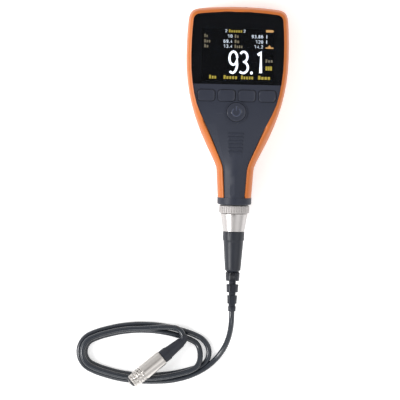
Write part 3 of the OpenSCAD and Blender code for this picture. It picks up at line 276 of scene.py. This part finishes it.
plug_metal = metal("plug_metal", shade(WARM_METAL, 0.82), rough=0.37, brush=ALONG_PLUG)
ring_metal = metal("ring_metal", shade(WARM_METAL, 0.84), rough=0.72, brush=ALONG_PLUG)
probe_steel = metal("probe_steel", shade(STEEL, 1.06), rough=0.30, depth_mm=0.0008)
spring_steel = metal("spring_steel", STEEL, rough=0.22)
brass_metal = metal("brass_metal", BRASS, rough=0.25)
lens_glass = clear_window("lens_glass", SMOKE, ior=1.28)
digit_white = lit("digit_white", (1.0, 1.0, 1.0), strength=3.2)
figure_white = lit("figure_white", (0.85, 0.88, 0.90), strength=1.8)
label_yellow = lit("label_yellow", (0.85, 0.62, 0.08), strength=1.0)
label_dim = lit("label_dim", (0.60, 0.48, 0.28), strength=0.6)
icon_amber = lit("icon_amber", (0.90, 0.48, 0.16), strength=1.4)

PLAIN_NODES = {
    "neck_collar": panel_plastic,
    "display_lens": lens_glass,
    "lens_mask": mask_print,
    "display_module": screen_glass,
    "display_frame": frame_plastic,
    "main_board": board_resin,
    "board_chips": chip_resin,
    "sounder": chip_resin,
    "usb_socket": brushed_steel,
    "keypad_mat": inner_plastic,
    "key_switches": brushed_steel,
    "cover_seal": black_rubber,
    "battery_1": cell_wrap,
    "battery_2": cell_wrap,
    "battery_springs": spring_steel,
    "battery_contacts": brass_metal,
    "probe_socket": brushed_steel,
    "socket_insert": inner_plastic,
    "socket_pins": brass_metal,
    "socket_flex": flex_film,
    "case_screws": brushed_steel,
    "board_screws": brushed_steel,
    "plug_seal": black_rubber,
    "plug_insert": inner_plastic,
    "probe_spring": spring_steel,
}
for name, material in PLAIN_NODES.items():
    nodes[name].data.materials.clear()
    nodes[name].data.materials.append(material)

# Pieces whose moulded or turned faces need smooth shading: finish, slot and the angle kept sharp
SMOOTH_PIECES = {
    "bumper": (orange_rubber, "bumper_orange", 50),
    "front_case": (panel_plastic, "case_grey", 11.8),
    "rear_case": (panel_plastic, "case_grey", 28),
    "softkey_1": (key_rubber, "key_grey", 50),
    "softkey_2": (key_rubber, "key_grey", 50),
    "softkey_3": (key_rubber, "key_grey", 50),
    "softkey_4": (key_rubber, "key_grey", 50),
    "power_key": (key_rubber, "key_grey", 50),
    "battery_cover": (panel_plastic, "case_grey", 30),
    "battery_latch": (inner_plastic, "inner_black", 30),
    "latch_bail": (brushed_steel, "steel", 30),
    "port_flap": (black_rubber, "flap_black", 30),
    "coupling_ring": (ring_metal, "plug_metal", 30),
    "plug_sleeve": (plug_metal, "plug_metal", 30),
    "strain_relief": (boot_rubber, "boot_black", 30),
    "probe_boot": (boot_rubber, "boot_black", 30),
    "probe_sleeve": (probe_steel, "steel", 30),
    "probe_core": (probe_steel, "steel", 30),
    "probe_face": (mask_print, "mask_black", 30),
    "probe_pole": (brushed_steel, "steel", 40),
}
MERGE = 1e-6
SLIVER = 1e-5
BODY_OF = {}
for body, members in frame["record"]["behaviour"]["bodies"].items():
    for node in members:
        BODY_OF[node] = body


def choose(piece):
    bpy.ops.object.select_all(action="DESELECT")
    piece.select_set(True)
    bpy.context.view_layer.objects.active = piece


def settle(piece, material, body):
    piece.data.materials.clear()
    piece.data.materials.append(material)
    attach(piece, body)


def smooth_copy(node, material, slot, angle):
    choose(nodes[node])
    bpy.ops.object.duplicate()
    piece = bpy.context.object
    piece.name = node + "_skin"
    piece.data.name = piece.name
    del piece["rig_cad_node"]
    bpy.ops.object.mode_set(mode="EDIT")
    bpy.ops.mesh.select_all(action="SELECT")
    bpy.ops.mesh.remove_doubles(threshold=MERGE)
    bpy.ops.mesh.dissolve_degenerate(threshold=SLIVER)
    bpy.ops.object.mode_set(mode="OBJECT")
    bpy.ops.object.shade_smooth_by_angle(angle=math.radians(angle))
    bpy.ops.object.modifier_add(type="WEIGHTED_NORMAL")
    piece.modifiers[-1].keep_sharp = True
    bpy.ops.object.modifier_apply(modifier=piece.modifiers[-1].name)
    settle(piece, material, BODY_OF[node])
    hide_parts(node)
    return piece


skins = {node: smooth_copy(node, *finish) for node, finish in SMOOTH_PIECES.items()}

# Strain relief: its rings are lengthened and slotted along the front, in millimetres
PLUG_AXIS_Z = 18
CORE_R = 2.5
CORE_EDGE = CORE_R + 0.1
RINGS_R = 9
FACE_SLACK = 0.1
# Each row: the ring face's place along the cable, the radii of its moved part, and the move
RING_MOVES = [
    (-121.27, 0, CORE_EDGE, 2.9),
    (-121.27, CORE_EDGE, RINGS_R, 1.9),
    (-128.55, 0, RINGS_R, 0.65),
    (-132.55, 0, RINGS_R, -0.9),
    (-139.82, 0, RINGS_R, -1.8),
    (-143.10, 0, RINGS_R, -0.6),
]
SLOT_W, SLOT_H = 3.4, 5
SLOT_START, SLOT_END = -146, -119.4
SLOT_LOW = PLUG_AXIS_Z + CORE_R + 0.05


def slide_ring(piece, face, least_r, most_r, shift):
    """Moves the points of one ring's face along the cable."""
    for point in piece.data.vertices:
        away = math.hypot(point.co.x / MM, point.co.z / MM - PLUG_AXIS_Z)
        point.select = abs(point.co.y / MM - face) < FACE_SLACK and least_r <= away <= most_r
    bpy.ops.object.mode_set(mode="EDIT")
    bpy.ops.transform.translate(value=(0, shift * MM, 0))
    bpy.ops.mesh.select_all(action="DESELECT")
    bpy.ops.object.mode_set(mode="OBJECT")


relief = skins["strain_relief"]
choose(relief)
bpy.ops.object.mode_set(mode="EDIT")
bpy.ops.mesh.select_mode(type="VERT")
bpy.ops.mesh.select_all(action="DESELECT")
bpy.ops.object.mode_set(mode="OBJECT")
for move in RING_MOVES:
    slide_ring(relief, *move)

bpy.ops.object.select_all(action="DESELECT")
bpy.ops.mesh.primitive_cube_add(size=1)
slot_cutter = bpy.context.object
bpy.ops.object.mode_set(mode="EDIT")
bpy.ops.mesh.select_all(action="SELECT")
bpy.ops.transform.resize(value=(SLOT_W * MM, (SLOT_END - SLOT_START) * MM, SLOT_H * MM))
bpy.ops.transform.translate(value=(0, (SLOT_START + SLOT_END) / 2 * MM, (SLOT_LOW + SLOT_H / 2) * MM))
bpy.ops.object.mode_set(mode="OBJECT")
choose(relief)
bpy.ops.object.modifier_add(type="BOOLEAN")
slot_cut = relief.modifiers[-1]
slot_cut.operation = "DIFFERENCE"
slot_cut.solver = "EXACT"
slot_cut.object = slot_cutter
bpy.ops.object.modifier_apply(modifier=slot_cut.name)
relief_finish, _, relief_angle = SMOOTH_PIECES["strain_relief"]
bpy.ops.object.shade_smooth_by_angle(angle=math.radians(relief_angle))
bpy.data.objects.remove(slot_cutter)
relief.data.materials.clear()
relief.data.materials.append(relief_finish)

# Cable: the free tail, two and a half turns of the coil, and the lead to the probe, in millimetres
CABLE_D = 4.0
CABLE_EXIT = Vector((0, -147.1, 18))
CABLE_LOW = CABLE_D / 2
CABLE_FACETS = 5
TAIL_DROP = CABLE_EXIT.z - CABLE_LOW
# Each step of the tail: how far across, how far along, and the share of the drop still to come
TAIL_STEPS = [
    (0, 0, 1), (0, -4, 1), (-0.1, -8, 0.92), (-0.5, -12.5, 0.76), (-1.3, -17.3, 0.57),
    (-2.7, -22.4, 0.37), (-4.7, -27.2, 0.2), (-7.2, -31.5, 0.09), (-10.1, -35.4, 0.02),
    (-13.4, -38.9, 0), (-17.2, -42.1, 0), (-21.4, -44.9, 0), (-26, -47.3, 0), (-31, -49.4, 0),
    (-37, -51.2, 0), (-44, -52.6, 0), (-51, -53.2, 0),
]
tail = [(x, CABLE_EXIT.y + y, CABLE_LOW + TAIL_DROP * share) for x, y, share in TAIL_STEPS]

# The coil is an oval of two wide side arcs and two small end arcs
COIL_X, COIL_Y = -62.5, -180
COIL_HALF_L, COIL_HALF_W, COIL_END_R = 47, 20.6, 14
COIL_SIDE_R = COIL_HALF_L**2 + COIL_HALF_W**2 - 2 * COIL_HALF_L * COIL_END_R
COIL_SIDE_R /= 2 * (COIL_HALF_W - COIL_END_R)
COIL_TURNS = 2.5
SIDE_STEP, END_STEP = 7.54, 16.845
SIDE_HALF, END_STEPS = 3, 8
HALF_TURN = [SIDE_STEP] * SIDE_HALF + [END_STEP] * END_STEPS + [SIDE_STEP] * SIDE_HALF
COIL_TURN = HALF_TURN * 2
COIL_STEPS = len(COIL_TURN)
LEFT_START, LEFT_STOP = SIDE_HALF, SIDE_HALF + END_STEPS
RIGHT_START, RIGHT_STOP = COIL_STEPS - LEFT_STOP, COIL_STEPS - LEFT_START

# Counted in turns: where the strand moves inward, outward and up, and where it is drawn to the left
STRAND_IN, STRAND_PITCH = (0.7, 1.0), 4.3
STRAND_OUT, OUT_MOVE = (1.7, 1.95), 1.7
DRAWN_IN, DRAWN_OUT, DRAWN_MOVE = (1.5, 1.75), (1.75, 2.0), 2.4
STRAND_UP, UPPER_Z = (1.64, 1.86), 6.05


def ease(start, end, value):
    share = min(1, max(0, (value - start) / (end - start)))
    return share * share * (3 - 2 * share)


def coil_point(step):
    """A place on the coil, counted in steps clockwise from the middle of its lower side."""
    turn = step / COIL_STEPS
    inset = STRAND_PITCH * ease(*STRAND_IN, turn) - OUT_MOVE * ease(*STRAND_OUT, turn)
    drawn = DRAWN_MOVE * ease(*DRAWN_IN, turn) * (1 - ease(*DRAWN_OUT, turn))
    z = CABLE_LOW + (UPPER_Z - CABLE_LOW) * ease(*STRAND_UP, turn)
    within = step % COIL_STEPS
    angle = math.radians(-90 - sum(COIL_TURN[:within]))
    end = COIL_HALF_L - COIL_END_R
    side = COIL_SIDE_R - COIL_HALF_W
    if LEFT_START <= within <= LEFT_STOP:
        x, y, radius = -end, 0, COIL_END_R
    elif LEFT_STOP < within < RIGHT_START:
        x, y, radius = 0, -side, COIL_SIDE_R
    elif RIGHT_START <= within <= RIGHT_STOP:
        x, y, radius = end, 0, COIL_END_R
    else:
        x, y, radius = 0, side, COIL_SIDE_R
    return (
        COIL_X + x - drawn + (radius - inset) * math.cos(angle),
        COIL_Y + y + (radius - inset) * math.sin(angle),
        z,
    )


coil = [coil_point(step) for step in range(round(COIL_TURNS * COIL_STEPS) + 1)]

# The lead leaves the coil's upper side and turns back into the probe's boot
LEAD_START = [(-56, -161.5), (-50, -160.9), (-46, -160.75)]
LEAD_TURN_X, LEAD_TURN_Y, LEAD_TURN_R = -41.94, -168.78, 7.8
COIL_HEADING, BOOT_HEADING, LEAD_STEPS = 180, 112.2, 6
BOOT_TIP = (-34.53, -166.3, 7.6)
TURN_TOP = 7.58
lead = [(x, y, UPPER_Z) for x, y in LEAD_START]
for step in range(LEAD_STEPS + 1):
    share = step / LEAD_STEPS
    heading = math.radians(COIL_HEADING + (BOOT_HEADING - COIL_HEADING) * share)
    lead.append((
        LEAD_TURN_X + LEAD_TURN_R * math.sin(heading),
        LEAD_TURN_Y - LEAD_TURN_R * math.cos(heading),
        UPPER_Z + (TURN_TOP - UPPER_Z) * share,
    ))
lead.append(BOOT_TIP)
route = [Vector(point) * MM for point in tail + coil + lead]

cable_line = bpy.data.curves.new("cable", "CURVE")
cable_line.dimensions = "3D"
cable_line.resolution_u = CABLE_FACETS
cable_line.bevel_depth = CABLE_D / 2 * MM
cable_line.bevel_resolution = CABLE_FACETS
cable_line.use_fill_caps = True
cable_spline = cable_line.splines.new("BEZIER")
cable_spline.bezier_points.add(len(route) - 1)
for knot, point in zip(cable_spline.bezier_points, route):
    knot.co = point
    knot.handle_left_type = "AUTO"
    knot.handle_right_type = "AUTO"
cable = bpy.data.objects.new("cable", cable_line)
bpy.context.scene.collection.objects.link(cable)
settle(cable, cable_jacket, "housing")
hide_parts("cable_tail", "cable_coil", "cable_lead")

# Lit display: figures and simple marks on the screen, under the window, in millimetres
SCREEN_GAP = 0.01 * MM
LIT_T = 0.05 * MM
FIELD_CORNER, CORNER_FACETS = 0.2, 2
WORD_GAP, SHORT_FIELD = 0.55, 0.75
FIGURE_W, FIGURE_GAP, FIGURE_STROKE, POINT_CORNER = 1.5, 0.45, 0.42, 0.1
STROKE_FACETS = 2
lit_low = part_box("display_module")[1][2] + SCREEN_GAP


def lit_bar(left, right, low, high, corner=FIELD_CORNER):
    """A flat lit field with rounded corners."""
    bpy.ops.object.select_all(action="DESELECT")
    bpy.ops.mesh.primitive_plane_add(size=1, location=(0, 0, 0))
    bpy.ops.object.mode_set(mode="EDIT")
    bpy.ops.mesh.select_all(action="SELECT")
    bpy.ops.transform.resize(value=((right - left) * MM, (high - low) * MM, 1))
    bpy.ops.transform.translate(value=((left + right) / 2 * MM, (low + high) / 2 * MM, lit_low))
    bpy.ops.mesh.bevel(offset=corner * MM, segments=CORNER_FACETS, affect="VERTICES")
    bpy.ops.mesh.select_all(action="SELECT")
    bpy.ops.mesh.extrude_region_move(TRANSFORM_OT_translate={"value": (0, 0, LIT_T)})
    bpy.ops.mesh.select_all(action="SELECT")
    bpy.ops.mesh.normals_make_consistent(inside=False)
    bpy.ops.object.mode_set(mode="OBJECT")
    return [bpy.context.object]


def lit_word(left, right, low, high, parts):
    """A row of small fields, the first one taller."""
    width = (right - left - WORD_GAP * (parts - 1)) / parts
    fields = []
    for part in range(parts):
        start = left + part * (width + WORD_GAP)
        top = high if part == 0 else low + SHORT_FIELD * (high - low)
        fields += lit_bar(start, start + width, low, top)
    return fields


def arc(x, y, width, height, start, end, steps=10):
    """Points on a part of an oval, in degrees."""
    turns = [math.radians(start + (end - start) * k / steps) for k in range(steps + 1)]
    return [(x + width * math.cos(a), y + height * math.sin(a)) for a in turns]


# Strokes of the figures, each in a box of one by one
STROKES = {
    "0": arc(0.5, 0.5, 0.5, 0.5, 90, 450, 20),
    "1": [(0.0, 0.87), (0.38, 0.93), (0.72, 1.0), (0.72, 0.0)],
    "2": arc(0.5, 0.70, 0.5, 0.30, 160, -25) + [(0.0, 0.0), (1.0, 0.0)],
    "3": arc(0.44, 0.76, 0.47, 0.24, 145, -85) + arc(0.40, 0.26, 0.60, 0.26, 85, -132),
    "4": [(0.76, 0.0), (0.76, 1.0), (0.0, 0.28), (1.0, 0.28)],
    "6": arc(0.5, 0.60, 0.5, 0.40, 60, 180) + arc(0.5, 0.31, 0.5, 0.31, 180, 540, 16),
    "8": arc(0.5, 0.76, 0.42, 0.24, -90, 270, 16) + arc(0.5, 0.26, 0.5, 0.26, 90, 450, 16),
    "9": arc(0.5, 0.69, 0.5, 0.31, 0, 360, 16) + arc(0.42, 0.42, 0.58, 0.42, 0, -125),
}


def flat_stroke(points, stroke, low, thick):
    """A round stroke along the points, pressed flat."""
    line = bpy.data.curves.new("stroke", "CURVE")
    line.dimensions = "3D"
    line.bevel_depth = stroke / 2 * MM
    line.bevel_resolution = STROKE_FACETS
    line.use_fill_caps = True
    spline = line.splines.new("POLY")
    spline.points.add(len(points) - 1)
    for knot, (x, y) in zip(spline.points, points):
        knot.co = (x * MM, y * MM, 0, 1)
    figure = bpy.data.objects.new("stroke", line)
    bpy.context.scene.collection.objects.link(figure)
    choose(figure)
    bpy.ops.object.convert(target="MESH")
    figure = bpy.context.object
    figure.scale = (1, 1, thick / (stroke * MM))
    figure.location = (0, 0, low + thick / 2)
    bpy.ops.object.transform_apply(location=True, rotation=True, scale=True)
    return figure


def lit_digit(digit, left, right, low, high, stroke):
    """One plain figure in its box."""
    wide = right - left - stroke
    tall = high - low - stroke
    points = [(left + stroke / 2 + x * wide, low + stroke / 2 + y * tall) for x, y in STROKES[digit]]
    return [flat_stroke(points, stroke, lit_low, LIT_T)]


def lit_number(text, right, low, high):
    """A small number whose last figure ends at the right."""
    pieces = []
    for digit in reversed(text):
        if digit == ".":
            pieces += lit_bar(right - FIGURE_STROKE, right, low, low + FIGURE_STROKE, POINT_CORNER)
            right -= FIGURE_STROKE + FIGURE_GAP
        else:
            pieces += lit_digit(digit, right - FIGURE_W, right, low, high, FIGURE_STROKE)
            right -= FIGURE_W + FIGURE_GAP
    return pieces


def join_pieces(name, pieces, material, body):
    bpy.ops.object.select_all(action="DESELECT")
    for piece in pieces:
        piece.select_set(True)
    bpy.context.view_layer.objects.active = pieces[0]
    bpy.ops.object.join()
    piece = bpy.context.object
    piece.name = name
    piece.data.name = name
    settle(piece, material, body)


def join_lit(name, pieces, material):
    join_pieces(name, pieces, material, "housing")


# The big reading: each figure with its left and right edge and its stroke
BIG_LOW, BIG_HIGH = 22.8, 39.5
BIG_DIGITS = [("9", -6.6, 0.5, 1.55), ("3", 0.9, 8.2, 1.55), ("1", 13.2, 18.4, 2.1)]
BIG_POINT = (9.1, 10.9, BIG_LOW, BIG_LOW + 2.0)
BIG_POINT_CORNER = 0.6
reading = []
for digit, left, right, stroke in BIG_DIGITS:
    reading += lit_digit(digit, left, right, BIG_LOW, BIG_HIGH, stroke)
reading += lit_bar(*BIG_POINT, BIG_POINT_CORNER)
join_lit("reading", reading, digit_white)

# The small numbers: each with its right edge and its row
HEADER = (52.2, 54.4)
ROWS = [(48.4, 50.8), (44.7, 47.1), (41.2, 43.6)]
LEFT_NUMBERS, RIGHT_NUMBERS = -4.0, 17.8
NUMBERS = [
    ("10", LEFT_NUMBERS, ROWS[0]), ("69.4", LEFT_NUMBERS, ROWS[1]), ("13.4", LEFT_NUMBERS, ROWS[2]),
    ("93.86", RIGHT_NUMBERS, ROWS[0]), ("120", RIGHT_NUMBERS, ROWS[1]), ("14.2", RIGHT_NUMBERS, ROWS[2]),
    ("2", -7.8, HEADER), ("2", 5.2, HEADER),
]
UNIT_BAR = (20.0, 20.6)
statistics = []
for text, right, row in NUMBERS:
    statistics += lit_number(text, right, *row)
for row in ROWS[:2]:
    statistics += lit_bar(*UNIT_BAR, *row)
join_lit("statistics", statistics, figure_white)

# The labels: each with its left and right edge, its row and its number of fields
UNIT_ROW = (31.4, 33.7)
DIM_LABELS = [
    (-23.9, -21.6, ROWS[0], 2), (-23.9, -19.7, ROWS[1], 3), (-23.9, -21.0, ROWS[2], 2),
    (-2.4, 0.3, ROWS[0], 2), (-2.4, 0.8, ROWS[1], 2), (-2.4, 3.2, ROWS[2], 4),
    (19.8, 24.8, UNIT_ROW, 3),
]
KEY_ROW = (19.2, 21.9)
KEY_LABELS = [
    (-19.9, -14.9, KEY_ROW, 3), (-9.7, -0.1, KEY_ROW, 5), (2.7, 11.3, KEY_ROW, 5),
    (14.8, 23.3, KEY_ROW, 4), (-6.6, 2.8, HEADER, 6),
]
STORE_ROW = (25.8, 28.7)
STORE_BARS = [(19.9, 21.3), (21.5, 22.9), (23.1, 24.5)]
labels = []
for left, right, row, parts in DIM_LABELS:
    labels += lit_word(left, right, *row, parts)
join_lit("labels", labels, label_dim)
key_labels = []
for left, right, row, parts in KEY_LABELS:
    key_labels += lit_word(left, right, *row, parts)
for bar in STORE_BARS:
    key_labels += lit_bar(*bar, *STORE_ROW)
join_lit("key_labels", key_labels, label_yellow)

# The battery mark, and a low field with a peak, whose steps are shares of its width and height
CELL_BODY, CELL_CORNER = (19.6, 24.9, 52.7, 54.5), 0.5
CELL_TIP = (24.9, 25.3, 53.2, 54.0)
PEAK_LEFT, PEAK_RIGHT = 19.6, 25.2
PEAK_STEPS = [(0, 1, 0.4), (0.3, 0.66, 0.7), (0.42, 0.56, 1)]
peak_low, peak_high = ROWS[2]
peak_w = PEAK_RIGHT - PEAK_LEFT
battery_mark = lit_bar(*CELL_BODY, CELL_CORNER) + lit_bar(*CELL_TIP)
for start, end, top in PEAK_STEPS:
    peak_top = peak_low + top * (peak_high - peak_low)
    battery_mark += lit_bar(PEAK_LEFT + start * peak_w, PEAK_LEFT + end * peak_w, peak_low, peak_top)
join_lit("battery_mark", battery_mark, icon_amber)

# Power mark: an open ring and a stroke, printed on the key
PRINT_LIFT = 0.01 * MM
PRINT_T = 0.04 * MM
MARK_R, MARK_STROKE = 2.9, 0.75
MARK_OPEN, MARK_POINTS = (125, 415), 24
MARK_BAR = (0.9, 4.1)
key_low, key_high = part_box("power_key")
key_x, key_y = (key_low.x + key_high.x) / 2 / MM, (key_low.y + key_high.y) / 2 / MM
MARK_LINES = [
    arc(key_x, key_y, MARK_R, MARK_R, *MARK_OPEN, MARK_POINTS),
    [(key_x, key_y + up) for up in MARK_BAR],
]
power_mark = []
for points in MARK_LINES:
    power_mark.append(flat_stroke(points, MARK_STROKE, key_high.z + PRINT_LIFT, PRINT_T))
join_pieces("power_mark", power_mark, key_print, BODY_OF["power_key"])

# Floor
FLOOR_SIZE = 8
FLOOR_WHITE = (0.95, 0.95, 0.95)
FLOOR_GLOW = 0.4
bpy.ops.object.select_all(action="DESELECT")
bpy.ops.mesh.primitive_plane_add(size=FLOOR_SIZE, location=(0, 0, 0))
floor = bpy.context.object
floor.name = "floor"
floor_paper = moulded("floor_paper", FLOOR_WHITE, rough=0.7, grain_mm=2.0, depth_mm=0.01, change=0.005)
floor_shader = floor_paper.node_tree.nodes["Principled BSDF"]
floor_shader.inputs["Emission Color"].default_value = (1, 1, 1, 1)
floor_shader.inputs["Emission Strength"].default_value = FLOOR_GLOW
floor.data.materials.append(floor_paper)

# Lights: each with its place in metres, its size and its power
MIDDLE = Vector((-0.02, -0.07, 0.0))
LIGHTS = {
    "key_light": (Vector((-1.7, -0.4, 1.5)), 1.0, 32),
    "fill_light": (Vector((1.3, -0.3, 1.9)), 2.2, 7),
    "front_light": (Vector((-0.2, -1.6, 1.4)), 1.0, 6),
}
for name, (place_m, size, power) in LIGHTS.items():
    way = (MIDDLE - place_m).to_track_quat("-Z", "Y").to_euler()
    bpy.ops.object.light_add(type="AREA", location=place_m, rotation=way)
    lamp = bpy.context.object
    lamp.name = name
    lamp.data.shape = "DISK"
    lamp.data.size = size
    lamp.data.energy = power

# Room: white round the sides, and darker straight above, on the camera's side
ROOM_STOPS, ROOM_TOP, ROOM_LIGHT = (0.90, 0.985), (0.22, 0.21, 0.20), 0.70
world = bpy.data.worlds.new("studio")
bpy.context.scene.world = world
world.use_nodes = True
room = world.node_tree
height = room.nodes.new("ShaderNodeSeparateXYZ")
room.links.new(room.nodes.new("ShaderNodeTexCoord").outputs["Generated"], height.inputs["Vector"])
room_tone = ramp(room, height.outputs["Z"], ROOM_STOPS, WHITE, ROOM_TOP)
room.links.new(room_tone, room.nodes["Background"].inputs["Color"])
room.nodes["Background"].inputs["Strength"].default_value = ROOM_LIGHT
bpy.context.scene.view_settings.view_transform = "Standard"
